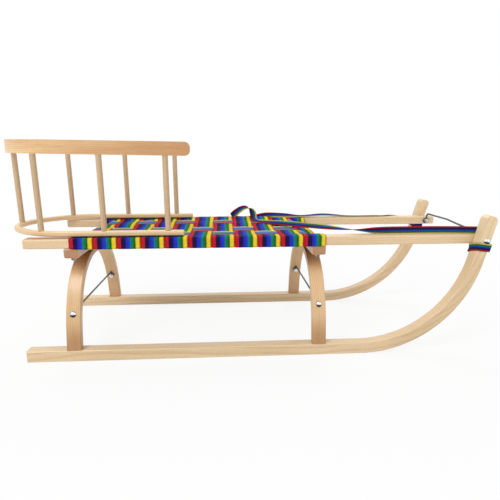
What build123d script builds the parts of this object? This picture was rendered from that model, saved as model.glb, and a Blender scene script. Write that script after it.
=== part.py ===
from build123d import *
import os
from math import acos, atan2, cos, degrees, hypot, pi, radians, sin, tan

# A wooden sled with two bent runners that end in horns, a seat of woven webbing and a spindle backrest.
# X points to the horns, Y to the sled's left side and Z up. Z = 0 is the snow under the runners,
# and X = 0 is midway between the two bent arches that carry the seat.

# Runners
runner_gauge = 349.0          # over the outer faces, at the snow
runner_width = 26.0
runner_height = 25.0
runner_tail = 362.5           # from the middle of the sled to the rear end
runner_flat = 356.5           # from the middle to the start of the bend
runner_bend_radius = 270.0    # of the sole
runner_bend_turn = 76.0
horn_length = 98.0
horn_corner_radius = 10.0
runner_edge_radius = 3.0

# Seat rails
rail_gauge = 274.4            # over the outer faces
rail_width = 27.0
rail_height = 20.5
rail_top = 259.0
rail_tail_length = 360.0
rail_nose_length = 645.0
rail_edge_radius = 3.0

# Bent arches that stand on the runners
arch_spacing = 526.4
arch_width = 30.5
arch_thickness = 15.5
arch_foot_inset = 1.3         # from a runner's outer face to that of the foot on it
arch_foot_angle = 80.5        # of a foot above the horizontal
arch_leg_radius = 220.0
arch_leg_turn = 22.5
arch_level_width = 29.5       # of the level top
arch_edge_radius = 2.5
tenon_depth = 16.0
tenon_width = 14.0
tenon_thickness = 8.0

# Crossbars between arch and rails
crossbar_width = 30.5
crossbar_height = 21.0
crossbar_overhang = 0.8
crossbar_edge_radius = 4.0

# Bolts: domed heads outside, hexagon nuts inside
bolt_diameter = 6.0
bolt_hole = 6.4
bolt_head_diameter = 14.0
bolt_head_height = 4.2
bolt_tail = 2.0
nut_across_flats = 10.0
nut_thickness = 5.0
head_seat_clearance = 0.3
rear_bolt_height = 101.0
front_bolt_height = 111.0
horn_bolt_place = 620.0
rail_bolt_head_height = 3.0

# Wire ties with an eye at each bolt
wire_diameter = 4.0
wire_clearance = 0.2
leg_tie_rise = 10.0           # from the bolt's middle to the wire that crosses
horn_tie_rise = 16.0

# Seat webbing
webbing_width = 49.0
webbing_pitch = 49.35
webbing_thickness = 1.6
webbing_clearance = 0.3
webbing_bend_radius = 4.0
cross_strap_count = 11
cross_strap_start = -265.0
long_strap_rail_gap = 7.7     # from a rail to the long strap beside it
seat_side_height = 255.5
seat_middle_height = 251.0
webbing_return = 9.0
long_strap_drop = 34.0
long_strap_bulge = 3.0

# Backrest
hoop_gauge = 240.0            # between the middles of the two arms
hoop_arm = 250.0
hoop_front = -27.0
hoop_shoulder_radius = 160.0
hoop_shoulder_turn = 45.0
hoop_edge_radius = 4.0
bottom_hoop_width = 13.0
bottom_hoop_height = 12.0
top_hoop_width = 9.0
top_hoop_height = 28.0
top_hoop_base = 430.0         # at the middle of the arms
top_hoop_tilt = 0.85          # down to the front
top_hoop_reach = 17.0         # past the bottom hoop's front ends
top_hoop_left_short = 20.0    # the left arm ends this much before the right one
top_hoop_edge_radius = 3.0
spindle_diameter = 12.0
spindle_tenon_diameter = 6.0
spindle_tenon_length = 10.0
# Columns: left of the middle or right, place along the sled behind the hoops' front ends
arm_spindles = [("left", 172.0), ("right", 168.0), ("left", 43.0), ("right", 34.0)]
# Columns: left or right, how far round the shoulder bend, in degrees
shoulder_spindles = [("left", 23.0), ("right", 19.0)]

# Pull strap, a flat band with a loop round each horn
pull_strap_width = 18.0
pull_loop_thickness = 1.6
pull_loop_slack = 0.5

overrun = 5.0

arch_foot_gauge = runner_gauge - 2 * arch_foot_inset
rail_bottom = rail_top - rail_height
rail_outer = rail_gauge / 2
rail_inner = rail_outer - rail_width
crossbar_bottom = rail_bottom - crossbar_height
horn_bolt_height = rail_bottom + rail_height / 2
# Each horn leans inwards until it meets the top edge of the rail that is bolted to it.
horn_lean = atan2(runner_gauge / 2 - runner_width - rail_outer, rail_top)
horn_face = runner_gauge / 2 - horn_bolt_height * tan(horn_lean)
# The heads of the bolts through the rails are sunk, because the webbing lies over them.
rail_bolt_seat = rail_top - rail_bolt_head_height - head_seat_clearance


def step(point, heading, length):
    """The point that lies a length away from another in a heading in degrees."""
    return (point[0] + length * cos(radians(heading)), point[1] + length * sin(radians(heading)))


def bent_strip(start, heading, runs, thickness):
    """The side view of a strip of even thickness that follows straight runs and bends.
    A run is (length,) or (radius, turn). A left turn is positive, and so is a thickness to the left."""
    sides = []
    ends = []
    for offset in (0, thickness):
        point = step(start, heading + 90, offset)
        direction = heading
        side = []
        for run in runs:
            if len(run) == 1:
                after = step(point, direction, run[0])
                side.append(Line(point, after))
            else:
                radius, turn = run
                radius = radius - offset if turn > 0 else radius + offset
                tangent = step((0, 0), direction, 1)
                side.append(JernArc(point, tangent, radius, turn))
                direction += turn
                after = side[-1] @ 1
                after = (after.X, after.Y)
            point = after
        sides += side
        ends.append((step(start, heading + 90, offset), point))
    caps = [Line(ends[0][0], ends[1][0]), Line(ends[0][1], ends[1][1])]
    return make_face(sides + caps)


def ribbon(points, radius, thickness):
    """The side view of a ribbon whose middle follows points, with every corner rounded."""
    runs = []
    headings = [degrees(atan2(b[1] - a[1], b[0] - a[0])) for a, b in zip(points, points[1:])]
    turns = [(b - a + 180) % 360 - 180 for a, b in zip(headings, headings[1:])]
    trims = [0] + [radius * tan(radians(abs(turn)) / 2) for turn in turns] + [0]
    for i, (a, b) in enumerate(zip(points, points[1:])):
        runs.append((hypot(b[0] - a[0], b[1] - a[1]) - trims[i] - trims[i + 1],))
        if i < len(turns):
            half = thickness / 2 if turns[i] > 0 else -thickness / 2
            runs.append((radius + half, turns[i]))
    start = step(points[0], headings[0] - 90, thickness / 2)
    return bent_strip(start, headings[0], runs, thickness)


def rod(a, b, diameter):
    """A round bar from point a to point b."""
    a, b = Vector(*a), Vector(*b)
    plane = Plane(origin=a, z_dir=b - a)
    return extrude(plane * Circle(diameter / 2), (b - a).length)


def mirrored(shape):
    return mirror(shape, about=Plane.XZ)


def edges_along(part, axis, tolerance=0.001):
    return part.edges().filter_by(axis, tolerance=tolerance)


# Half an arch is a straight foot, a wide bend of the leg, a tighter bend of the shoulder and half the level
# top. The foot's length and the shoulder's radius are those that reach both the crossbar and the level top.
arch_slope = arch_foot_angle - arch_leg_turn
foot_rise, foot_run = sin(radians(arch_foot_angle)), cos(radians(arch_foot_angle))
slope_rise, slope_run = sin(radians(arch_slope)), cos(radians(arch_slope))
left_run = (arch_foot_gauge - arch_level_width) / 2 - arch_leg_radius * (foot_rise - slope_rise)
left_rise = crossbar_bottom - runner_height - arch_leg_radius * (slope_run - foot_run)
share = foot_run * (1 - slope_run) - foot_rise * slope_rise
arch_foot_length = (left_run * (1 - slope_run) - left_rise * slope_rise) / share
arch_shoulder_radius = (foot_run * left_rise - foot_rise * left_run) / share


def leg_face(height):
    """Distance from the middle plane to an arch's outer face at a height, and the slope there."""
    foot_top = runner_height + arch_foot_length * foot_rise
    if height < foot_top:
        return arch_foot_gauge / 2 - (height - runner_height) * foot_run / foot_rise, arch_foot_angle
    centre_height = foot_top - arch_leg_radius * foot_run
    centre_inset = arch_foot_length * foot_run + arch_leg_radius * foot_rise
    slope = acos((height - centre_height) / arch_leg_radius)
    inset = centre_inset - arch_leg_radius * sin(slope)
    return arch_foot_gauge / 2 - inset, degrees(slope)


def make_runner():
    """The left runner with its horn. Its outline lies in a plane that leans inwards."""
    stretch = 1 / cos(horn_lean)
    leaning = Plane(
        origin=(0, runner_gauge / 2, 0), x_dir=(1, 0, 0), z_dir=(0, -cos(horn_lean), -sin(horn_lean)))
    runs = [(runner_tail + runner_flat,), (runner_bend_radius, runner_bend_turn), (horn_length,)]
    outline = bent_strip((-runner_tail, 0), 0, runs, runner_height * stretch)
    corners = outline.vertices().sort_by(Axis.Y)[-2:]
    outline = fillet(corners, horn_corner_radius)
    part = extrude(leaning * outline, runner_width, dir=(0, -1, 0))
    sides = part.faces().filter_by(lambda f: abs(f.normal_at().dot(leaning.z_dir)) > cos(horn_lean))
    part = fillet(sides.edges(), runner_edge_radius)
    for x in (-arch_spacing / 2, arch_spacing / 2):
        part -= tenon(x, runner_height + overrun)
    seat = rod((horn_bolt_place, horn_face, horn_bolt_height), (horn_bolt_place, runner_gauge, horn_bolt_height),
               bolt_head_diameter + 2 * head_seat_clearance)
    return part - horn_bore() - seat


def tenon(x, top):
    """The block under an arch's left foot that sits in the runner."""
    base = runner_height - tenon_depth
    middle = arch_foot_gauge / 2 - arch_thickness / 2
    block = Box(tenon_width, tenon_thickness, top - base, align=(Align.CENTER, Align.CENTER, Align.MIN))
    return Pos(x, middle, base) * block


def horn_bore():
    return rod((horn_bolt_place, 0, horn_bolt_height), (horn_bolt_place, runner_gauge, horn_bolt_height), bolt_hole)


def make_rail():
    """The left seat rail."""
    length = rail_tail_length + rail_nose_length
    middle = (rail_nose_length - rail_tail_length) / 2
    part = Pos(middle, rail_outer - rail_width / 2, rail_top - rail_height / 2) * Box(length, rail_width, rail_height)
    part = fillet(part.edges(), rail_edge_radius)
    for x in (-arch_spacing / 2, arch_spacing / 2):
        y = rail_outer - rail_width / 2
        part -= rail_bolt_bore(x)
        part -= rod((x, y, rail_bolt_seat), (x, y, rail_top + overrun), bolt_head_diameter + 2 * head_seat_clearance)
    return part - horn_bore()


def rail_bolt_bore(x):
    y = rail_outer - rail_width / 2
    return rod((x, y, crossbar_bottom - overrun), (x, y, rail_top + overrun), bolt_hole)


def make_arch(x, bolt_height):
    """A bent strip of wood that stands on both runners and carries a crossbar."""
    heading = arch_foot_angle
    foot = arch_foot_length + tenon_depth
    start = step((-arch_foot_gauge / 2, runner_height), heading, -tenon_depth)
    half = [(foot,), (arch_leg_radius, -arch_leg_turn), (arch_shoulder_radius, -arch_slope)]
    runs = half + [(arch_level_width,)] + half[::-1]
    outline = bent_strip(start, heading, runs, -arch_thickness)
    part = extrude(Plane.YZ * outline, arch_width / 2, both=True)
    part = fillet(part.edges().filter_by(lambda e: abs(e.center().X) > arch_width / 2 - arch_edge_radius / 10),
                  arch_edge_radius)
    floor = Box(2 * arch_width, 2 * arch_foot_gauge, runner_height, align=(Align.CENTER, Align.CENTER, Align.MIN))
    part = Pos(x, 0, 0) * (part - floor)
    peg = tenon(x, runner_height + arch_thickness)
    part += peg + mirrored(peg)
    bore = leg_bolt_bore(x, bolt_height)
    return part - bore - mirrored(bore)


def leg_bolt_plane(x, height):
    """A plane on the left leg's outer face whose z axis runs inwards along the bolt."""
    y, slope = leg_face(height)
    inwards = (0, -sin(radians(slope)), -cos(radians(slope)))
    return Plane(origin=(x, y, height), x_dir=(1, 0, 0), z_dir=inwards)


def leg_bolt_bore(x, height):
    length = arch_thickness + 2 * overrun
    return leg_bolt_plane(x, height) * Pos(0, 0, -overrun) * Cylinder(
        bolt_hole / 2, length, align=(Align.CENTER, Align.CENTER, Align.MIN))


def make_bolt(grip, head_height):
    """A bolt along +Z with its domed head under Z = 0 and its nut past the grip."""
    dome_radius = ((bolt_head_diameter / 2) ** 2 + head_height ** 2) / (2 * head_height)
    dome = Pos(0, 0, dome_radius - head_height) * Sphere(dome_radius)
    above = Box(4 * dome_radius, 4 * dome_radius, 4 * dome_radius, align=(Align.CENTER, Align.CENTER, Align.MIN))
    dome -= above
    shank = Cylinder(bolt_diameter / 2, grip + nut_thickness + bolt_tail,
                     align=(Align.CENTER, Align.CENTER, Align.MIN))
    nut = extrude(RegularPolygon(nut_across_flats / 2, 6, major_radius=False), nut_thickness)
    return dome + shank + Pos(0, 0, grip) * nut


def make_crossbar(x):
    length = 2 * (rail_outer + crossbar_overhang)
    part = Pos(x, 0, rail_bottom - crossbar_height / 2) * Box(crossbar_width, length, crossbar_height)
    part = fillet(part.edges(), crossbar_edge_radius)
    bore = rail_bolt_bore(x)
    return part - bore - mirrored(bore)


eye_radius = (bolt_hole + wire_diameter) / 2
eye_lift = wire_diameter / 2 + wire_clearance


def make_tie(centre, normal, up, rise):
    """A wire from bolt to bolt. It makes an eye round each bolt, rises out of it and crosses over."""
    eye = Plane(origin=centre, x_dir=(1, 0, 0), z_dir=normal) * Torus(eye_radius, wire_diameter / 2)
    start = centre + up * eye_radius
    knee = centre + up * rise
    points = [start, knee, Vector(knee.X, -knee.Y, knee.Z), Vector(start.X, -start.Y, start.Z)]
    path = FilletPolyline(*points, radius=wire_diameter)
    wire = sweep(Plane(origin=start, z_dir=up) * Circle(wire_diameter / 2), path=path)
    return eye + mirrored(eye) + wire


def make_leg_tie(x, height):
    """The wire between the two bolts of an arch."""
    plane = leg_bolt_plane(x, height)
    centre = plane.origin + plane.z_dir * (arch_thickness + eye_lift)
    return make_tie(centre, plane.z_dir, plane.y_dir, leg_tie_rise)


def make_horn_tie():
    """The wire between the two horn bolts."""
    centre = Vector(horn_bolt_place, rail_inner - eye_lift, horn_bolt_height)
    return make_tie(centre, Vector(0, -1, 0), Vector(0, 0, 1), horn_tie_rise)


strap_lift = webbing_clearance + webbing_thickness / 2
weave_step = webbing_thickness + webbing_clearance
long_strap_spacing = rail_inner - long_strap_rail_gap - webbing_width / 2
long_strap_places = [(long_strap_spacing, seat_side_height), (0, seat_middle_height),
                     (-long_strap_spacing, seat_side_height)]


def make_cross_strap(number):
    """One strap across the seat. It goes over one long strap and under the next,
    and round both rails to its staples underneath."""
    y_side = rail_outer + strap_lift
    z_under = rail_bottom - strap_lift
    z_over = rail_top + strap_lift
    first_over = number % 2 == 0
    wrap = [(rail_inner + webbing_return, z_under), (y_side, z_under), (y_side, z_over), (rail_inner, z_over)]
    points = list(wrap)
    for i, (y, level) in enumerate(long_strap_places):
        over = first_over == (i % 2 == 1)
        z = level + (weave_step if over else -weave_step)
        reach = webbing_width / 2 + webbing_clearance
        points += [(y + reach, z), (y - reach, z)]
    points += [(-y, z) for y, z in wrap[::-1]]
    outline = ribbon(points, webbing_bend_radius, webbing_thickness)
    x = cross_strap_start + number * webbing_pitch
    part = extrude(Plane(origin=(x, 0, 0), x_dir=(0, 1, 0), z_dir=(1, 0, 0)) * outline, webbing_width)
    for place in (-arch_spacing / 2, arch_spacing / 2):
        part -= crossbar_notch(place)
    return part


def crossbar_notch(x):
    """What a strap leaves free where it turns under the rail beside a crossbar."""
    width = crossbar_width + 2 * webbing_clearance
    height = crossbar_height + webbing_clearance
    return Pos(x, 0, rail_bottom - height) * Box(
        width, 2 * rail_gauge, height, align=(Align.CENTER, Align.CENTER, Align.MIN))


def make_long_strap(y, level):
    """One strap along the seat, turned down over both crossbars."""
    face = arch_spacing / 2 + crossbar_width / 2 + strap_lift
    bulge = face + long_strap_bulge
    tip = level - long_strap_drop
    half = [(face, tip), (face, rail_bottom), (bulge, level)]
    points = half + [(-x, z) for x, z in half[::-1]]
    outline = ribbon(points, long_strap_bulge, webbing_thickness)
    return extrude(Plane(origin=(0, y, 0), x_dir=(1, 0, 0), z_dir=(0, -1, 0)) * outline, webbing_width / 2, both=True)


# The hoops' rear is a wide shoulder bend and a tighter bend that ends across the sled.
hoop_back_turn = 90 - hoop_shoulder_turn
hoop_back_radius = ((hoop_gauge / 2 - hoop_shoulder_radius * (1 - cos(radians(hoop_shoulder_turn))))
                    / cos(radians(hoop_shoulder_turn)))


def hoop_outline(width, reach, left_short):
    """A U that is open to the front, as a strip of even width, from its left end round to its right one."""
    bends = [(hoop_shoulder_radius + width / 2, hoop_shoulder_turn), (hoop_back_radius + width / 2, hoop_back_turn)]
    arm = hoop_arm + reach
    start = (hoop_front + reach - left_short, hoop_gauge / 2 + width / 2)
    return bent_strip(start, 180, [(arm - left_short,)] + bends + bends[::-1] + [(arm,)], width)


bottom_hoop_base = rail_top + webbing_thickness + 2 * webbing_clearance
spindle_base = bottom_hoop_base + bottom_hoop_height
top_hoop_middle = hoop_front - hoop_arm / 2
top_hoop_plane = Plane(origin=(top_hoop_middle, 0, top_hoop_base),
                       x_dir=(cos(radians(top_hoop_tilt)), 0, -sin(radians(top_hoop_tilt))),
                       z_dir=(sin(radians(top_hoop_tilt)), 0, cos(radians(top_hoop_tilt))))


def spindle_top(x):
    """The height of the top hoop's underside."""
    return top_hoop_base - (x - top_hoop_middle) * tan(radians(top_hoop_tilt))


def make_bottom_hoop():
    part = Pos(0, 0, bottom_hoop_base) * extrude(hoop_outline(bottom_hoop_width, 0, 0), bottom_hoop_height)
    part = fillet(part.edges(), hoop_edge_radius)
    for x, y in spindle_places():
        part -= Pos(x, y, spindle_base) * Cylinder(spindle_tenon_diameter / 2, 2 * spindle_tenon_length)
    return part


def make_top_hoop():
    part = extrude(hoop_outline(top_hoop_width, top_hoop_reach, top_hoop_left_short), top_hoop_height)
    front = hoop_front + top_hoop_reach
    ends = edges_along(part, Axis.Y).filter_by(lambda e: e.center().X > front - top_hoop_left_short - overrun)
    part = fillet(ends, top_hoop_height / 2 - top_hoop_edge_radius)
    part = top_hoop_plane * Pos(-top_hoop_middle, 0, 0) * part
    for x, y in spindle_places():
        part -= Pos(x, y, spindle_top(x)) * Cylinder(spindle_tenon_diameter / 2, 2 * spindle_tenon_length)
    return part


def spindle_places():
    """One spindle at the middle of the back, one at each shoulder and two on each arm."""
    back = hoop_front - hoop_arm
    turn = radians(hoop_shoulder_turn)
    places = [(back - hoop_shoulder_radius * sin(turn) - hoop_back_radius * (1 - sin(turn)), 0)]
    for side, degrees_round in shoulder_spindles:
        sign = 1 if side == "left" else -1
        y = hoop_gauge / 2 - hoop_shoulder_radius * (1 - cos(radians(degrees_round)))
        places.append((back - hoop_shoulder_radius * sin(radians(degrees_round)), y * sign))
    for side, distance in arm_spindles:
        sign = 1 if side == "left" else -1
        places.append((hoop_front - distance, hoop_gauge / 2 * sign))
    return places


def make_spindle(x, y):
    """A dowel with a pin at each end. Its top is cut at the top hoop's slope."""
    top = spindle_top(x)
    up = (Align.CENTER, Align.CENTER, Align.MIN)
    body = Pos(x, y, spindle_base) * Cylinder(spindle_diameter / 2, top + overrun - spindle_base, align=up)
    body -= top_hoop_plane * Box(4 * hoop_arm, 4 * hoop_arm, 2 * overrun, align=up)
    pin = Pos(x, y, spindle_base - spindle_tenon_length) * Cylinder(
        spindle_tenon_diameter / 2, top - spindle_base + 2 * spindle_tenon_length, align=up)
    return body + pin


def horn_centre(height):
    """The middle of the left horn's straight part at a height."""
    turn = radians(runner_bend_turn)
    stretch = 1 / cos(horn_lean)
    bend_x = runner_flat + runner_bend_radius * sin(turn)
    bend_z = runner_bend_radius * (1 - cos(turn))
    x = bend_x + (height * stretch - bend_z) / tan(turn) - runner_height * stretch / 2 / sin(turn)
    y = runner_gauge / 2 - runner_width / 2 - height * tan(horn_lean)
    return x, y


def make_pull_loop():
    """The band that goes round the left horn under the rail."""
    middle = rail_bottom - webbing_clearance - pull_strap_width / 2
    x, y = horn_centre(middle)
    length = runner_height / cos(horn_lean) / sin(radians(runner_bend_turn)) + 2 * pull_loop_slack
    width = runner_width + 2 * pull_loop_slack
    corner = runner_edge_radius + pull_loop_slack
    inner = RectangleRounded(length, width, corner)
    outer = RectangleRounded(
        length + 2 * pull_loop_thickness, width + 2 * pull_loop_thickness, corner + pull_loop_thickness)
    slope = Vector(1 / cos(horn_lean) / tan(radians(runner_bend_turn)), -tan(horn_lean), 1)
    base = Vector(x, y, middle) - slope * (pull_strap_width / 2)
    return extrude(Plane(origin=base, x_dir=(1, 0, 0), z_dir=(0, 0, 1)) * (outer - inner),
                   pull_strap_width * slope.length, dir=slope)


# The pull strap's route from the right horn along its rail, over the seat, through a loop that stands on the
# left rail and along that rail to the left horn
pull_strap_route = [
    (624, -136, 270), (624, -121.5, 270), (612, -112, 270.5), (585, -113, 271), (530, -117, 271), (460, -116, 271),
    (403, -108, 271), (350, -86, 270), (296, -42, 270), (243, 0, 271), (196, 34, 271), (159, 59, 271),
    (131, 78, 271), (108, 94, 273), (90, 108, 281), (82, 117, 297), (94, 123, 312), (116, 125, 315),
    (134, 126, 304), (143, 126, 286), (158, 126, 274), (186, 127, 271), (240, 126, 272), (310, 123, 271),
    (380, 125, 273), (440, 128, 272), (490, 136, 268), (526, 146, 255), (552, 151, 243), (575, 152, 234.4),
    (596.2, 152, 229.1)]


def route_radii(points):
    """Each corner's radius, as large as its two runs allow."""
    vectors = [Vector(*b) - Vector(*a) for a, b in zip(points, points[1:])]
    return [0.45 * min(a.length, b.length) / tan(radians(a.get_angle(b)) / 2) for a, b in zip(vectors, vectors[1:])]


def make_pull_strap():
    radii = route_radii(pull_strap_route)
    path = FilletPolyline(*pull_strap_route, radius=radii)
    start = Vector(*pull_strap_route[0])
    plane = Plane(origin=start, z_dir=Vector(*pull_strap_route[1]) - start)
    part = sweep(plane * Circle(pull_strap_width / 2), path=path)
    print("pull strap radii", [round(radius) for radius in radii])
    print("pull strap length", round(path.length), "volume share", part.volume / (
        path.length * pi * (pull_strap_width / 2) ** 2))
    return part


os.makedirs("parts", exist_ok=True)
parts = {}

runner = make_runner()
rail = make_rail()
parts["runner_left"] = runner
parts["runner_right"] = mirrored(runner)
parts["rail_left"] = rail
parts["rail_right"] = mirrored(rail)

# Columns: name of the end, place along the sled, height of the bolts through the legs
arch_table = [("rear", -arch_spacing / 2, rear_bolt_height), ("front", arch_spacing / 2, front_bolt_height)]
for end, x, bolt_height in arch_table:
    parts[f"arch_{end}"] = make_arch(x, bolt_height)
    parts[f"crossbar_{end}"] = make_crossbar(x)
    parts[f"tie_wire_{end}"] = make_leg_tie(x, bolt_height)
    leg_bolt = leg_bolt_plane(x, bolt_height) * make_bolt(arch_thickness + eye_lift * 2, bolt_head_height)
    parts[f"leg_bolt_{end}_left"] = leg_bolt
    parts[f"leg_bolt_{end}_right"] = mirrored(leg_bolt)
    rail_bolt = Pos(x, rail_outer - rail_width / 2, rail_bolt_seat) * Rot(180, 0, 0) * make_bolt(
        rail_bolt_seat - crossbar_bottom, rail_bolt_head_height)
    parts[f"rail_bolt_{end}_left"] = rail_bolt
    parts[f"rail_bolt_{end}_right"] = mirrored(rail_bolt)

horn_bolt = Pos(horn_bolt_place, horn_face, horn_bolt_height) * Rot(90, 0, 0) * make_bolt(
    horn_face - rail_inner + eye_lift * 2, bolt_head_height)
parts["horn_bolt_left"] = horn_bolt
parts["horn_bolt_right"] = mirrored(horn_bolt)
parts["tie_wire_horns"] = make_horn_tie()

for number in range(cross_strap_count):
    parts[f"seat_strap_cross_{number + 1:02d}"] = make_cross_strap(number)
for name, (y, level) in zip(("left", "middle", "right"), long_strap_places):
    parts[f"seat_strap_long_{name}"] = make_long_strap(y, level)

parts["backrest_bottom_hoop"] = make_bottom_hoop()
parts["backrest_top_hoop"] = make_top_hoop()
for number, (x, y) in enumerate(spindle_places(), start=1):
    parts[f"backrest_spindle_{number}"] = make_spindle(x, y)

pull_loop = make_pull_loop()
parts["pull_strap_loop_left"] = pull_loop
parts["pull_strap_loop_right"] = mirrored(pull_loop)
parts["pull_strap"] = make_pull_strap()

for name, part in parts.items():
    export_step(part, f"parts/{name}.step")
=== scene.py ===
from math import cos, pi, radians, sin

import bmesh
import bpy
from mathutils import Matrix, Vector


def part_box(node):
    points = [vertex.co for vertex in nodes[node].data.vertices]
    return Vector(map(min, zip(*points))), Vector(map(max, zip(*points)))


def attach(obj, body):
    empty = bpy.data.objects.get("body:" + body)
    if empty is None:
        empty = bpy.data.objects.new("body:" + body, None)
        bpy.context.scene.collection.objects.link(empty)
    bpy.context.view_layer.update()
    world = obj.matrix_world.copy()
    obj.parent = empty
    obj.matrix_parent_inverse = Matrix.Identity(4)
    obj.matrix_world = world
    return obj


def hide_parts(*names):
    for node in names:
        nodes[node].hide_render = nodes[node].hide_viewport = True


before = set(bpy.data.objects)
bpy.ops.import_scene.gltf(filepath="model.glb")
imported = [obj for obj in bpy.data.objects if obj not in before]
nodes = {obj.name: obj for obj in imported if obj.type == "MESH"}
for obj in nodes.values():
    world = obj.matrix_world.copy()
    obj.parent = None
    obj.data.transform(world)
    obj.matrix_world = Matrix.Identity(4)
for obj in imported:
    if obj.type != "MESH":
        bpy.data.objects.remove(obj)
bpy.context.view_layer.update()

# Sizes in metres. X runs to the horns, Y to the sled's left side, away from the camera, and Z up.

# Camera, as it stood for the photograph
camera_place = (0.0599, -0.9731, 0.4377)
camera_pitch = radians(13.222)
camera_yaw = radians(3.312)
camera_lens = 28.97
camera_shift = (0.00436, -0.0090)

camera_data = bpy.data.cameras.new("camera")
camera = bpy.data.objects.new("camera", camera_data)
camera.location = camera_place
camera.rotation_euler = (pi / 2 - camera_pitch, 0, -camera_yaw)
camera_data.sensor_width = 36
camera_data.lens = camera_lens
camera_data.shift_x, camera_data.shift_y = camera_shift
camera_data.clip_end = 50
bpy.context.scene.collection.objects.link(camera)
bpy.context.scene.camera = camera


# Shapes

def spline_points(route, steps=12):
    """Points along the smooth line that has the route's points as its control points."""
    data = bpy.data.curves.new("route", "CURVE")
    data.dimensions = "3D"
    data.resolution_u = steps
    spline = data.splines.new("NURBS")
    spline.points.add(len(route) - 1)
    for point, place in zip(spline.points, route):
        point.co = (*place, 1)
    spline.order_u = 3
    spline.use_endpoint_u = True
    holder = bpy.data.objects.new("route", data)
    mesh = bpy.data.meshes.new_from_object(holder)
    points = [vertex.co.copy() for vertex in mesh.vertices]
    bpy.data.objects.remove(holder)
    bpy.data.meshes.remove(mesh)
    bpy.data.curves.remove(data)
    return points


def finish_piece(name, mesh_maker, material):
    """Turns a bmesh into a piece of the sled."""
    mesh = bpy.data.meshes.new(name)
    mesh_maker.to_mesh(mesh)
    mesh_maker.free()
    piece = bpy.data.objects.new(name, mesh)
    bpy.context.scene.collection.objects.link(piece)
    mesh.materials.append(material)
    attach(piece, "root")
    return piece


def band_outline(width, thickness, columns):
    """The cross-section of a woven band, with rounded selvedges: (share of the width, out) all round."""
    outline = []
    for side in (1, -1):
        for i in range(columns):
            share = i / columns if side > 0 else 1 - i / columns
            room = min(share, 1 - share) * width / (thickness / 2)
            out = thickness / 2 * (1 if room >= 1 else (1 - (1 - room) ** 2) ** 0.5)
            outline.append((share, out * side))
    return outline


def sweep_band(path, across, width, thickness, columns=16, span=None, lift=None):
    """A bmesh of a flat band along a path. across is the direction of its red selvedge to its yellow one, or one
    such direction for each point of the path. span gives the shares of the width that are there at a point, and
    lift how far a point is raised. The UV map holds metres along and across."""
    maker = bmesh.new()
    outline = band_outline(width, thickness, columns)
    uv = maker.loops.layers.uv.new("weave")
    along_layer = maker.verts.layers.float.new("along")
    share_layer = maker.verts.layers.float.new("share")
    turned = across if isinstance(across, list) else [across] * len(path)
    ring = bmesh.ops.create_circle(maker, segments=len(outline), radius=width)["verts"]
    caps = [maker.faces.new(ring)]
    length = 0
    for i, centre in enumerate(path):
        if i:
            length += (centre - path[i - 1]).length
            edges = [maker.edges.get((a, b)) for a, b in zip(ring, ring[1:] + ring[:1])]
            made = set(bmesh.ops.extrude_edge_only(maker, edges=edges)["geom"])
            ring = [next(edge.other_vert(vertex) for edge in vertex.link_edges if edge.other_vert(vertex) in made)
                    for vertex in ring]
        ahead = (path[min(i + 1, len(path) - 1)] - path[max(i - 1, 0)]).normalized()
        side = Vector(turned[i])
        side = (side - ahead * side.dot(ahead)).normalized()
        out = side.cross(ahead)
        low, high = span(centre) if span else (0, 1)
        for vertex, (share, h) in zip(ring, outline):
            kept = low + share * (high - low)
            vertex.co = centre + side * (kept - 0.5) * width + out * h
            vertex[along_layer] = length
            vertex[share_layer] = kept
    caps.append(maker.faces.new(ring[::-1]))
    for face in maker.faces:
        face.smooth = True
        for loop in face.loops:
            loop[uv].uv = (loop.vert[along_layer], loop.vert[share_layer] * width)
    if lift:
        for vertex in maker.verts:
            vertex.co.z += lift(vertex.co.x, vertex.co.y)
    for cap in caps:
        cap.smooth = False
    bmesh.ops.recalc_face_normals(maker, faces=maker.faces)
    return maker


# Materials

class Value:
    """A socket in a shader, or a number, on which sums make Math nodes."""

    def __init__(self, shader, socket):
        self.shader, self.socket = shader, socket

    def sum(self, operation, *others, first=None):
        inputs = [self, *others] if first is None else [first, self]
        return self.shader.node("ShaderNodeMath", {"operation": operation}, dict(enumerate(inputs)))

    def __add__(self, other): return self.sum("ADD", other)
    def __radd__(self, other): return self.sum("ADD", other)
    def __sub__(self, other): return self.sum("SUBTRACT", other)
    def __rsub__(self, other): return self.sum("SUBTRACT", first=other)
    def __mul__(self, other): return self.sum("MULTIPLY", other)
    def __rmul__(self, other): return self.sum("MULTIPLY", other)
    def __truediv__(self, other): return self.sum("DIVIDE", other)
    def __pow__(self, other): return self.sum("POWER", other)
    def __gt__(self, other): return self.sum("GREATER_THAN", other)
    def __lt__(self, other): return self.sum("LESS_THAN", other)
    def __abs__(self): return self.sum("ABSOLUTE")

    def clamp(self, low=0.0, high=1.0):
        return self.sum("MAXIMUM", low).sum("MINIMUM", high)

    def ease(self, low, high):
        """0 under low, 1 over high and smooth between."""
        return self.shader.node("ShaderNodeMapRange", {"interpolation_type": "SMOOTHSTEP"},
                                {"Value": self, "From Min": low, "From Max": high})


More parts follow.
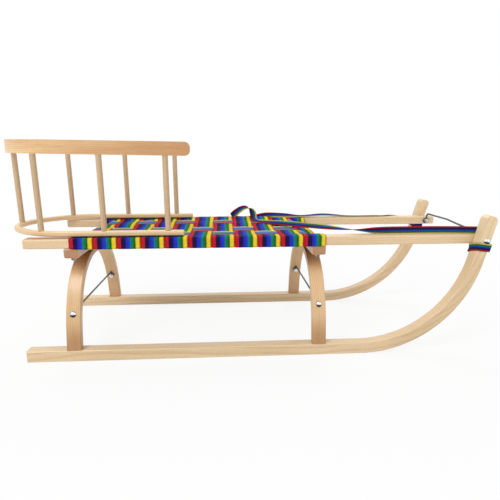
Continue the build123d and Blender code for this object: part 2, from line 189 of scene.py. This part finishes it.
class Shader:
    """A material that is built node by node round one Principled BSDF."""

    def __init__(self, name):
        self.material = bpy.data.materials.new(name)
        self.material.use_nodes = True
        self.tree = self.material.node_tree
        self.tree.nodes.clear()
        self.surface = self.tree.nodes.new("ShaderNodeBsdfPrincipled")
        self.output = self.tree.nodes.new("ShaderNodeOutputMaterial")
        self.tree.links.new(self.surface.outputs[0], self.output.inputs["Surface"])

    def put(self, socket, value):
        if isinstance(value, Value):
            self.tree.links.new(value.socket, socket)
        elif isinstance(value, (tuple, list)) and len(value) == 3 and socket.type == "RGBA":
            socket.default_value = (*value, 1)
        else:
            socket.default_value = value

    def node(self, kind, settings=None, inputs=None, output=0):
        made = self.tree.nodes.new(kind)
        for key, value in (settings or {}).items():
            if key == "stops":
                ramp = made.color_ramp
                for place, colour in value[2:]:
                    ramp.elements.new(place).color = (*colour, 1)
                for element, (place, colour) in zip((ramp.elements[0], ramp.elements[-1]), value[:2]):
                    element.position, element.color = place, (*colour, 1)
            elif key == "interpolation":
                made.color_ramp.interpolation = value
            else:
                setattr(made, key, value)
        for key, value in (inputs or {}).items():
            self.put(made.inputs[key], value)
        return Value(self, made.outputs[output])

    def set(self, **values):
        """Sets the surface's own sockets. Underscores stand for spaces."""
        for key, value in values.items():
            self.put(self.surface.inputs[key.replace("_", " ")], value)

    def coordinates(self):
        """The piece's own X, Y and Z in metres."""
        place = self.node("ShaderNodeTexCoord", output="Object")
        return [self.node("ShaderNodeSeparateXYZ", inputs={0: place}, output=i) for i in range(3)]

    def point(self, x, y, z):
        return self.node("ShaderNodeCombineXYZ", inputs={0: x, 1: y, 2: z})

    def noise(self, point, scale=1.0, detail=2.0, roughness=0.5, distortion=0.0):
        return self.node("ShaderNodeTexNoise", inputs={
            "Vector": point, "Scale": scale, "Detail": detail, "Roughness": roughness, "Distortion": distortion})

    def mix(self, share, a, b, blend="MIX"):
        made = self.tree.nodes.new("ShaderNodeMix")
        made.data_type = "RGBA"
        made.blend_type = blend
        for place, value in ((0, share), (6, a), (7, b)):
            self.put(made.inputs[place], value)
        return Value(self, made.outputs[2])

    def bump(self, height, distance, strength=1.0):
        made = self.node("ShaderNodeBump", inputs={"Height": height, "Distance": distance, "Strength": strength})
        self.set(Normal=made)


def colour(red, green, blue):
    """A shader's colour from the usual 0 to 255."""
    return tuple((c / 255 / 12.92) if c < 10.5 else ((c / 255 + 0.055) / 1.055) ** 2.4 for c in (red, green, blue))


def unbend(along, depth, start, radius, turn):
    """Carries wood grain round a bend. depth runs from the bent line towards the bend's centre."""
    ahead = along - start
    away = radius - depth
    angle = ahead.sum("ARCTAN2", away).clamp(0, turn)
    cosine, sine = angle.sum("COSINE"), angle.sum("SINE")
    return start + radius * angle + ahead * cosine - away * sine, radius - (ahead * sine + away * cosine)


def straight_grain(x, y, z):
    return x, y, z


def upright_grain(x, y, z):
    return z, x, y


def crosswise_grain(x, y, z):
    return y, x, z


def runner_grain(x, y, z):
    along, depth = unbend(x, z, 0.3565, 0.27, radians(76))
    return along, y, depth


def arch_grain(x, y, z):
    along, depth = unbend(abs(y) - 0.0148, 0.2175 - z, 0, 0.142, radians(58))
    along, depth = unbend(along, depth, 0.142 * radians(58), 0.22, radians(22.5))
    return along * y.sum("SIGN"), x, depth


def hoop_grain(x, y, z):
    along, depth = unbend(abs(y), x + 0.4204, 0, 0.1034, radians(45))
    along, depth = unbend(along, depth, 0.1034 * radians(45), 0.16, radians(45))
    return along * y.sum("SIGN"), depth, z


def beech(name, grain, pale, deep, seed, streaks=0.3, tone_and_shade=None):
    """Lacquered beech: wide growth bands, fine fibres and the short dark flecks of its rays. The last argument
    takes X, Y and Z and gives the share of a warmer, darker colour, which is the wood's own tone on some pieces and
    painted shade on others."""
    shader = Shader(name)
    x, y, z = shader.coordinates()
    along, side, depth = grain(x, y, z)
    far = along + seed * 3.7
    wander = shader.noise(shader.point(far * 2.5, side * 9, depth * 9), 1, 2) - 0.5
    heart = ((side + 0.031 + seed * 0.004) ** 2 + (depth - 0.046) ** 2) ** 0.5
    rings = (heart * 260 + wander * 5 + seed).sum("FRACT")
    late = rings.ease(0.35, 0.95) * (1 - rings.ease(0.95, 1.0))
    fibres = shader.noise(shader.point(far * 22, side * 1400, depth * 1400), 1, 3, 0.6)
    tone = shader.noise(shader.point(far * 5, side * 55, depth * 55), 1, 3, 0.6)
    ray = shader.noise(shader.point(far * 330, side * 2600, depth * 2600), 1, 0).ease(0.64, 0.74)
    share = (late * 0.34 + (fibres - 0.5) * 0.5 + (tone - 0.4).clamp() * 2.2 * streaks + wander * 0.3).clamp()
    wood = shader.mix(share, colour(*pale), colour(*deep))
    if tone_and_shade:
        # A warmer, darker colour: the wood's own tone on some pieces, painted shade on others.
        wood = shader.mix(tone_and_shade(x, y, z), wood, colour(*(c * f for c, f in zip(deep, (0.86, 0.74, 0.58)))))
    wood = shader.mix(ray * 0.3, wood, colour(*(c * 0.62 for c in deep)))
    shader.set(Base_Color=wood, Roughness=0.34 + fibres * 0.16, Coat_Weight=0.3, Coat_Roughness=0.18)
    shader.bump(fibres * 0.5 + ray * -0.4 - late * 0.25, 0.00012, 0.6)
    return shader.material


def stripes(shader, share):
    """The colours across the webbing, from its red selvedge to its yellow one."""
    return shader.node("ShaderNodeValToRGB", {"interpolation": "LINEAR", "stops": [
        (0.0, colour(206, 20, 34)), (1.0, colour(236, 118, 30)),
        (0.165, colour(216, 14, 56)), (0.195, colour(32, 2, 60)), (0.345, colour(16, 4, 80)),
        (0.385, colour(32, 38, 190)), (0.545, colour(34, 66, 216)), (0.60, colour(12, 142, 120)),
        (0.69, colour(10, 128, 56)), (0.775, colour(4, 100, 34)), (0.815, colour(252, 216, 28)),
        (0.93, colour(254, 228, 60)), (0.965, colour(246, 172, 36))]}, {"Fac": share})


def webbing(name, width, warp, weft, dim=1.0, yellow_highlight=0.0, pale=0.0, painted_shade=None):
    """Woven webbing in stripes: rows of warp yarns along it, each seen as short grains between the weft."""
    shader = Shader(name)
    place = shader.node("ShaderNodeUVMap", {"uv_map": "weave"})
    along = shader.node("ShaderNodeSeparateXYZ", inputs={0: place}, output=0)
    across = shader.node("ShaderNodeSeparateXYZ", inputs={0: place}, output=1)
    fray = shader.noise(shader.point(along * 900, across * 900, 0), 1, 3, 0.6) - 0.5
    row = across / warp
    number = row.sum("FLOOR")
    yarn = (row.sum("FRACT") - 0.5)
    crown = (1 - yarn * yarn * 3.6).clamp()
    grain = ((along / weft + number * 0.5 + fray * 0.2) * (2 * pi)).sum("SINE") * 0.5 + 0.5
    height = crown * (0.45 + grain * 0.55)
    lot = shader.noise(shader.point(number * 7.31, along * 18, 0), 1, 1) - 0.5
    wear = shader.noise(shader.point(along * 26, across * 60, 3.7), 1, 3, 0.6) - 0.5
    edge = (across + fray * 0.0006 + lot * 0.0004) / width
    base = stripes(shader, edge)
    # Painted highlight: the yellow selvedge paled towards white.
    base = shader.mix(edge.ease(0.80, 0.84) * yellow_highlight, base, colour(236, 242, 190))
    # Painted sheen: the whole strap paled towards grey-white.
    base = shader.mix(pale, base, colour(206, 216, 210))
    shade = ((0.56 + height * 0.5 + lot * 0.22 + fray * 0.25 + wear * 0.16) * dim).clamp(0.2, 1.12)
    # Painted shade: darker where the given mask of X, Y and Z says, such as along the bottom hoop.
    if painted_shade:
        shade = shade * (1 - painted_shade(*shader.coordinates()))
    base = shader.mix(1.0, base, shader.point(shade, shade, shade), "MULTIPLY")
    # Painted highlight: a faint pale glint on the top of each yarn.
    base = shader.mix((grain.ease(0.82, 1.0) * crown * 0.05).clamp(), base, colour(235, 232, 226))
    shader.set(Base_Color=base, Roughness=0.7 + (1 - height) * 0.2, Specular_IOR_Level=0.12)
    shader.bump(height + fray * 0.2, 0.00045, 0.75)
    return shader.material


def metal(name, tint, roughness, scratches, dirt=0.0):
    """Plated or bare metal with fine scratches and dull spots."""
    shader = Shader(name)
    x, y, z = shader.coordinates()
    lines = shader.noise(shader.point(x * 300, y * 2600, z * 2600), 1, 3, 0.7)
    spots = shader.noise(shader.point(x * 240, y * 240, z * 240), 1, 3, 0.6)
    dull = spots.ease(0.5, 0.75)
    base = shader.mix(dull * dirt, colour(*tint), colour(*(c * 0.45 for c in tint)))
    shader.set(Base_Color=base, Metallic=1.0, Roughness=roughness + lines * scratches + dull * dirt * 0.3)
    shader.bump(lines + spots * 0.6, 0.00003, 0.4)
    return shader.material


def leg_shade_and_tone(x, y, z):
    """The near legs are darker and browner under the crossbars, which is painted shade, and browner where they
    stand on the runner.
    """
    high = z.ease(0.165, 0.215)
    low = 1 - z.ease(0.035, 0.095)
    return (high * 0.75 + low * 0.55) * (0.35 + 0.65 * (1 - y.ease(-0.05, 0.05)))


def bend_stain(x, y, z):
    return x.ease(0.38, 0.47) * (1 - z.ease(0.20, 0.24)) * 0.16


def bar_end_grain_and_shade(x, y, z):
    """End grain drinks more lacquer. Between the rails, under the seat, the bar is darker too: painted shade."""
    return abs(y).ease(0.1368, 0.1375) * 0.5 + (1 - abs(y).ease(0.105, 0.135)) * 0.25


# Painted shade: the top hoop turns darker and browner towards its front.
def top_hoop_painted_shade(x, y, z):
    return x.ease(-0.40, -0.02) * 0.6


def painted_hoop_shade(x, y, z):
    """Painted shade along the backrest's bottom hoop, where it lies on the rails and on the straps over them."""
    along = x.ease(-0.365, -0.355) * (1 - x.ease(-0.032, -0.026))
    return along * abs(y).ease(0.104, 0.110) * (1 - abs(y).ease(0.1325, 0.1355)) * z.ease(0.2585, 0.2589) * 0.8


runner_wood = beech("runner_wood", runner_grain, (238, 212, 171), (202, 166, 118), 1, tone_and_shade=bend_stain)
rail_wood = beech("rail_wood", straight_grain, (238, 210, 169), (204, 164, 116), 2, tone_and_shade=painted_hoop_shade)
arch_wood = beech("arch_wood", arch_grain, (228, 190, 142), (188, 142, 92), 3, 0.4, leg_shade_and_tone)
crossbar_wood = beech("crossbar_wood", crosswise_grain, (222, 180, 140), (180, 132, 94), 4, 0.4, bar_end_grain_and_shade)
bottom_hoop_wood = beech("bottom_hoop_wood", hoop_grain, (242, 210, 164), (206, 162, 112), 5)
top_hoop_wood = beech("top_hoop_wood", hoop_grain, (244, 208, 158), (204, 148, 88), 6, 0.7, top_hoop_painted_shade)
spindle_wood = beech("spindle_wood", upright_grain, (214, 184, 144), (178, 140, 100), 7, 0.45)
chrome = metal("bolt_chrome", (214, 216, 220), 0.06, 0.06)
zinc = metal("nut_zinc", (178, 180, 184), 0.24, 0.16, 0.5)
tie_metal = metal("tie_metal", (104, 108, 114), 0.38, 0.2, 0.6)
seat_webbing = webbing("seat_webbing", 0.049, 0.00125, 0.0024, painted_shade=painted_hoop_shade)
# The long straps are the seat's webbing with painted sheen: paled all over, with a paler yellow selvedge, and a
# little darker.
long_webbing = webbing("long_webbing", 0.049, 0.00125, 0.0024, dim=0.95, yellow_highlight=0.85, pale=0.2)
# Painted highlight on the pull strap's yellow selvedge.
pull_webbing = webbing("pull_webbing", 0.018, 0.0009, 0.0020, dim=0.70, yellow_highlight=0.6)


# Seat webbing

strap_width = 0.049
strap_pitch = 0.04935
strap_thickness = 0.0014
strap_rise = 0.0016
crimp = 0.0008                 # how far a strap bends round the one that crosses it
rail_side, rail_inner = 0.1372, 0.1102
rail_top, rail_under = 0.259, 0.2385
off_wood = 0.0011
bar_level = 0.2412             # of the webbing that lies on the crossbars
bar_start, bar_end = 0.236, 0.262
long_places = (0.078, 0.0, -0.078)
side_level, middle_level = 0.2555, 0.251


def smooth(value, low, high):
    t = min(max((value - low) / (high - low), 0), 1)
    return t * t * (3 - 2 * t)


def seat_level(y):
    """The height at which the webbing would lie if nothing crossed it."""
    return middle_level + (side_level - middle_level) * smooth(abs(y), 0.0245, 0.0535)


def dip(x, y):
    """How far the webbing sinks towards a crossbar."""
    return smooth(abs(x), bar_start, bar_end) * (1 - smooth(abs(y), 0.090, 0.104)) * (seat_level(y) - bar_level)


def crossing(y):
    """1 over and under a long strap, 0 between them."""
    return max(1 - smooth(abs(y - place), 0.0245, 0.0325) for place in long_places)


def strap_middle(number):
    low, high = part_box(f"seat_strap_cross_{number + 1:02d}")
    return (low.x + high.x) / 2


first_middle = strap_middle(0)


def lies_over(number, y):
    """1 where a cross strap passes over the long strap at y, and -1 where it passes under it."""
    on_middle = abs(y) < 0.039
    return 1 if on_middle == (number % 2 == 0) else -1


def crimp_wave(x):
    return cos(pi * (x - first_middle) / strap_pitch)


def add_cross_strap(number):
    """A strap from the underside of one rail round it, over the seat and round the other rail."""
    x = strap_middle(number)
    side, over, under = rail_side + off_wood, rail_top + off_wood, rail_under - off_wood
    step = 0.008
    wrap = [(rail_inner + 0.009, under), (side - step, under), (side - 0.0005, under - 0.0004),
            (side + 0.0017, under + 0.0026), (side + 0.0017, under + 0.0044), (side, under + 0.0064),
            (side, under + step + 0.001),
            (side, over - step), (side, over), (side - step, over), (rail_inner + 0.003, over)]
    heights = []
    for i in range(-15, 16):
        y = i * 0.0068
        rise = lies_over(number, y) * crossing(y) * strap_rise
        ease_down = 1 - smooth(abs(y), 0.095, 0.104)
        heights.append((-y, seat_level(y) + rise * ease_down + (1 - ease_down) * (over - side_level) * 0.5))
    points = [Vector((x, y, z)) for y, z in wrap + heights + [(-y, z) for y, z in wrap[::-1]]]
    path = spline_points(points, 6)

    def span(place):
        if place.z > rail_under + 0.0003:
            return 0, 1
        for end, bar in (("rear", -0.2632), ("front", 0.2632)):
            low, high = (bar - 0.0155 - x) / strap_width + 0.5, (bar + 0.0155 - x) / strap_width + 0.5
            if low < 1 and high > 0:
                return (high, 1) if end == "rear" else (0, low)
        return 0, 1

    def lift(px, py):
        if abs(py) > 0.104:
            return 0
        bend = crossing(py) * (1 - smooth(abs(py), 0.095, 0.104)) * crimp * crimp_wave(px) * crimp_sign(number)
        return -lies_over(number, py) * bend - dip(px, py)

    piece = finish_piece(f"webbing_cross_{number + 1:02d}",
                         sweep_band(path, (1, 0, 0), strap_width, strap_thickness, span=span, lift=lift),
                         seat_webbing)
    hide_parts(f"seat_strap_cross_{number + 1:02d}")


def crimp_sign(number):
    return 1 if number % 2 == 0 else -1


def add_long_strap(name, y):
    """A strap along the seat, turned down over the outer faces of both crossbars."""
    face, level = 0.27955, seat_level(y)
    top = bar_level - 0.0014
    half = [(-face, level - 0.034), (-face, level - 0.026), (-face, 0.2330), (-face, top), (-face + 0.003, top)]
    middle = []
    for i in range(79):
        x = -0.2735 + i * 0.547 / 78
        middle.append((x, level - dip(x, y) - 0.0014 * smooth(abs(x), 0.262, 0.272)))
    points = [Vector((x, y, z)) for x, z in half + middle + [(-x, z) for x, z in half[::-1]]]
    path = spline_points(points, 4)
    over_first = lies_over(0, y)

    def lift(px, py):
        yellow_highlight = 1 - smooth(abs(px), 0.264, 0.276)
        return -over_first * crimp * crimp_wave(px) * yellow_highlight

    piece = finish_piece(f"webbing_long_{name}",
                         sweep_band(path, (0, 1, 0), strap_width, strap_thickness, lift=lift),
                         long_webbing)
    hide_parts(f"seat_strap_long_{name}")


for number in range(11):
    add_cross_strap(number)
for name, y in zip(("left", "middle", "right"), long_places):
    add_long_strap(name, y)


# Pull strap
# Columns: X, Y, Z, then the direction from the red selvedge to the yellow one

pull_route = [
    (0.6400, -0.1362, 0.2672, 0, -0.3, -1), (0.6300, -0.1352, 0.2672, 0, -0.3, -1),
    (0.6160, -0.1340, 0.2672, 0, -0.3, -1), (0.5810, -0.1240, 0.2665, 0, -0.3, -1),
    (0.5160, -0.1190, 0.2665, 0, -0.3, -1), (0.4490, -0.1160, 0.2658, 0, -0.2, -1),
    (0.4030, -0.1100, 0.2650, 0, 0.3, -1), (0.3700, -0.1010, 0.2645, 0, 0.8, -0.5),
    (0.3450, -0.0930, 0.2640, 0.3, 1, -0.15), (0.3180, -0.0680, 0.2630, 0.5, 1, 0.3),
    (0.2910, -0.0400, 0.2620, 0.6, 0.8, 0.6), (0.2400, 0.0010, 0.2610, 0.6, 0.8, 0.7),
    (0.1950, 0.0340, 0.2600, 0.6, 0.8, 0.6), (0.1690, 0.0490, 0.2592, 0.6, 0.8, 0.4),
    (0.1500, 0.0640, 0.2585, 0.7, 0.8, 0.2), (0.1400, 0.0820, 0.2590, 0.9, 0.5, 0.1),
    (0.1370, 0.0980, 0.2610, 0.95, 0.1, 0.1), (0.1380, 0.1100, 0.2660, 0.9, -0.2, 0.2),
    (0.1365, 0.1165, 0.2740, 0.85, -0.4, 0.3), (0.1300, 0.1185, 0.2835, 0.5, -0.8, 0.2),
    (0.1190, 0.1190, 0.2885, 0.1, -1, -0.5), (0.1060, 0.1190, 0.2855, 0.45, -0.7, -0.6),
    (0.0940, 0.1190, 0.2770, 0.6, -0.45, -0.6), (0.0850, 0.1230, 0.2690, 0.65, -0.3, -0.6),
    (0.0790, 0.1330, 0.2610, 0.5, -0.3, -0.8), (0.0840, 0.1430, 0.2540, 0.2, -0.1, -1),
    (0.1000, 0.1460, 0.2500, 0, 0, -1), (0.1250, 0.1460, 0.2500, 0, 0, -1),
    (0.1470, 0.1440, 0.2545, 0, 0, -1), (0.1660, 0.1340, 0.2620, 0, -0.4, -0.9),
    (0.1900, 0.1210, 0.2660, 0, -0.75, -0.65), (0.2300, 0.1170, 0.2650, 0, -0.8, -0.55),
    (0.2650, 0.1170, 0.2625, 0, -1, -0.1), (0.2950, 0.1180, 0.2640, 0, -0.98, -0.15),
    (0.3300, 0.1200, 0.2665, 0, -0.97, -0.25), (0.3650, 0.1215, 0.2640, 0, -0.98, -0.15),
    (0.4000, 0.1230, 0.2605, 0, -1, 0), (0.4500, 0.1240, 0.2602, 0, -1, 0),
    (0.4900, 0.1280, 0.2602, 0, -1, 0), (0.5200, 0.1375, 0.2600, 0, -0.95, 0.3),
    (0.5430, 0.1460, 0.2530, 0, -0.6, 0.8), (0.5600, 0.1500, 0.2465, 0, -0.3, 1),
    (0.5780, 0.1520, 0.2425, 0, 0, 1), (0.5962, 0.1520, 0.2396, 0, 0, 1)]

pull_path = spline_points([row[:3] for row in pull_route], 8)
pull_turns = spline_points([row[3:] for row in pull_route], 8)
pull_strap = finish_piece("pull_strap_band", sweep_band(pull_path, pull_turns, 0.018, 0.0012, 12),
                          pull_webbing)
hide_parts("pull_strap")


# Bands of the pull strap round the horns

band_lap = 0.0012              # how far the band's two ends lie over each other
band_corner = 0.0040


def add_horn_band(name, side, inner_lift, outer_lift, tilt, bulge, shown):
    """A band round a horn. It lies lower at the inner side, and shown is the share of its width that the rail
    leaves free there."""
    low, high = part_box(f"pull_strap_loop_{name}")
    centre = (low + high) / 2
    slope = Vector((0.2495, -0.0436 * side, 1))
    a, b, c = 0.0142, 0.0143 * side, band_corner
    d = c * side
    ring = [(0, -b), (a - c, -b), (a, -b), (a + bulge * 0.5, -b + d), (a + bulge, b - d), (a + bulge * 0.6, b),
            (a - c, b), (-a + c, b), (-a, b), (-a, b - d), (-a, -b + d), (-a, -b), (-a + c, -b), (band_lap, -b)]
    points = []
    for x, y in ring:
        share = ((y / b + 1) / 2) ** 0.5
        rise = inner_lift + (outer_lift - inner_lift) * share - tilt * x / a * share
        points.append(centre + Vector((x, y, 0)) + slope * rise)
    path = spline_points(points, 8)
    inner = centre.y - b * 0.3

    def span(place):
        return (0, 1) if (place.y - inner) * side > 0 else (0, shown)

    piece = finish_piece(f"pull_band_{name}", sweep_band(path, slope, 0.018, 0.0014, 12, span=span),
                         pull_webbing)
    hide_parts(f"pull_strap_loop_{name}")


add_horn_band("right", -1, 0.0, 0.0074, 0.0020, 0.0032, 1.0)
add_horn_band("left", 1, 0.0055, 0.0105, 0.0, 0.0010, 0.70)


# Wire between the horns

def eye_turn(centre, radius, side):
    """Control points of a turn of the wire round a bolt's end, from its top to its top."""
    turn = []
    for i in range(13):
        angle = pi / 2 + side * i * pi / 6
        turn.append(centre + Vector((radius * cos(angle), -side * 0.0003 * i, radius * sin(angle))))
    return turn


bolt_x, bolt_z = 0.62, 0.24875
left_eye = eye_turn(Vector((bolt_x, 0.1080, bolt_z)), 0.0056, 1)
right_eye = eye_turn(Vector((bolt_x, -0.1080, bolt_z)), 0.0056, -1)
# Columns: Y, Z
crossing_wire = [(0.1035, 0.2625), (0.1000, 0.2685), (0.0900, 0.2690), (0.0400, 0.2692), (-0.0010, 0.2700),
                 (-0.0085, 0.2692), (-0.0400, 0.2668), (-0.0860, 0.2640), (-0.0990, 0.2630), (-0.1030, 0.2590)]
wire_path = spline_points(
    left_eye + [Vector((bolt_x, y, z)) for y, z in crossing_wire] + right_eye[::-1], 6)
horn_wire = finish_piece("tie_wire_bent", sweep_band(wire_path, (1, 0, 0.02), 0.0045, 0.0045, 7), tie_metal)
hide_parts("tie_wire_horns")

# Materials of the solids that stay

solid_finishes = {"runner": runner_wood, "rail_": rail_wood, "arch": arch_wood, "crossbar": crossbar_wood,
                  "tie_wire": tie_metal, "leg_bolt": chrome, "horn_bolt": chrome, "rail_bolt": zinc,
                  "backrest_bottom": bottom_hoop_wood, "backrest_top": top_hoop_wood,
                  "backrest_spindle": spindle_wood}
for name, node in nodes.items():
    if node.hide_render:
        continue
    finish = next(finish for start, finish in sorted(solid_finishes.items(), key=lambda item: -len(item[0]))
                  if name.startswith(start))
    node.data.materials.clear()
    node.data.materials.append(finish)


# Floor, world and lamps

floor_shader = Shader("pale_floor")
x, y, z = floor_shader.coordinates()
far = (x * x + y * y) ** 0.5
rays = floor_shader.node("ShaderNodeLightPath")
seen = floor_shader.node("ShaderNodeLightPath", output="Is Camera Ray").sum(
    "MAXIMUM", floor_shader.node("ShaderNodeLightPath", output="Is Glossy Ray")).sum(
    "MAXIMUM", floor_shader.node("ShaderNodeLightPath", output="Is Transmission Ray"))
glow = floor_shader.node("ShaderNodeEmission", inputs={"Color": (1, 1, 1, 1), "Strength": 1.0})
floor_shader.set(Base_Color=(0.9, 0.9, 0.9), Roughness=0.9)
shown = floor_shader.node("ShaderNodeMixShader", inputs={
    0: seen * (0.86 + 0.14 * far.ease(0.6, 1.8)), 1: Value(floor_shader, floor_shader.surface.outputs[0]), 2: glow})
floor_shader.put(floor_shader.output.inputs["Surface"], shown)
floor_maker = bmesh.new()
bmesh.ops.create_grid(floor_maker, x_segments=2, y_segments=2, size=14)
floor_mesh = bpy.data.meshes.new("floor")
floor_maker.to_mesh(floor_mesh)
floor_maker.free()
floor = bpy.data.objects.new("floor", floor_mesh)
floor_mesh.materials.append(floor_shader.material)
bpy.context.scene.collection.objects.link(floor)

world = bpy.data.worlds.new("studio")
bpy.context.scene.world = world
world.use_nodes = True
world.node_tree.nodes.clear()
path_rays = world.node_tree.nodes.new("ShaderNodeLightPath")
ambient = world.node_tree.nodes.new("ShaderNodeBackground")
backdrop = world.node_tree.nodes.new("ShaderNodeBackground")
choice = world.node_tree.nodes.new("ShaderNodeMixShader")
world_output = world.node_tree.nodes.new("ShaderNodeOutputWorld")
either = world.node_tree.nodes.new("ShaderNodeMath")
either.operation = "MAXIMUM"
ambient.inputs["Color"].default_value = (1, 1, 1, 1)
ambient.inputs["Strength"].default_value = 0.5
backdrop.inputs["Color"].default_value = (1, 1, 1, 1)
links = world.node_tree.links
links.new(path_rays.outputs["Is Camera Ray"], either.inputs[0])
links.new(path_rays.outputs["Is Glossy Ray"], either.inputs[1])
links.new(either.outputs[0], choice.inputs[0])
links.new(ambient.outputs[0], choice.inputs[1])
links.new(backdrop.outputs[0], choice.inputs[2])
links.new(choice.outputs[0], world_output.inputs[0])

# Columns: name, place, what it faces, size, power
lamp_table = [("key", (-1.5, -1.7, 2.5), (0.1, 0, 0.15), 1.3, 45.0),
              ("fill", (1.9, -1.6, 1.3), (0.1, 0, 0.15), 1.8, 12.0),
              ("back", (0.1, 1.7, 2.3), (0.1, 0, 0.15), 1.8, 24.0)]
for name, place, target, size, power in lamp_table:
    lamp_data = bpy.data.lights.new(name, "AREA")
    lamp_data.size = size
    lamp_data.energy = power
    lamp = bpy.data.objects.new(name, lamp_data)
    lamp.location = place
    lamp.rotation_euler = (Vector(target) - Vector(place)).to_track_quat("-Z", "Y").to_euler()
    bpy.context.scene.collection.objects.link(lamp)

card_shader = Shader("dark_card")
card_shader.set(Base_Color=(0.01, 0.01, 0.01), Roughness=1.0)
card_maker = bmesh.new()
bmesh.ops.create_grid(card_maker, x_segments=1, y_segments=1, size=0.5)
bmesh.ops.scale(card_maker, vec=(2.4, 1.2, 1), verts=card_maker.verts)
bmesh.ops.translate(card_maker, vec=(0.1, -0.72, 0.004), verts=card_maker.verts)
card_mesh = bpy.data.meshes.new("dark_card")
card_maker.to_mesh(card_mesh)
card_maker.free()
card = bpy.data.objects.new("dark_card", card_mesh)
card_mesh.materials.append(card_shader.material)
card.visible_camera = card.visible_diffuse = card.visible_shadow = card.visible_transmission = False
bpy.context.scene.collection.objects.link(card)

bpy.context.scene.view_settings.view_transform = "Standard"
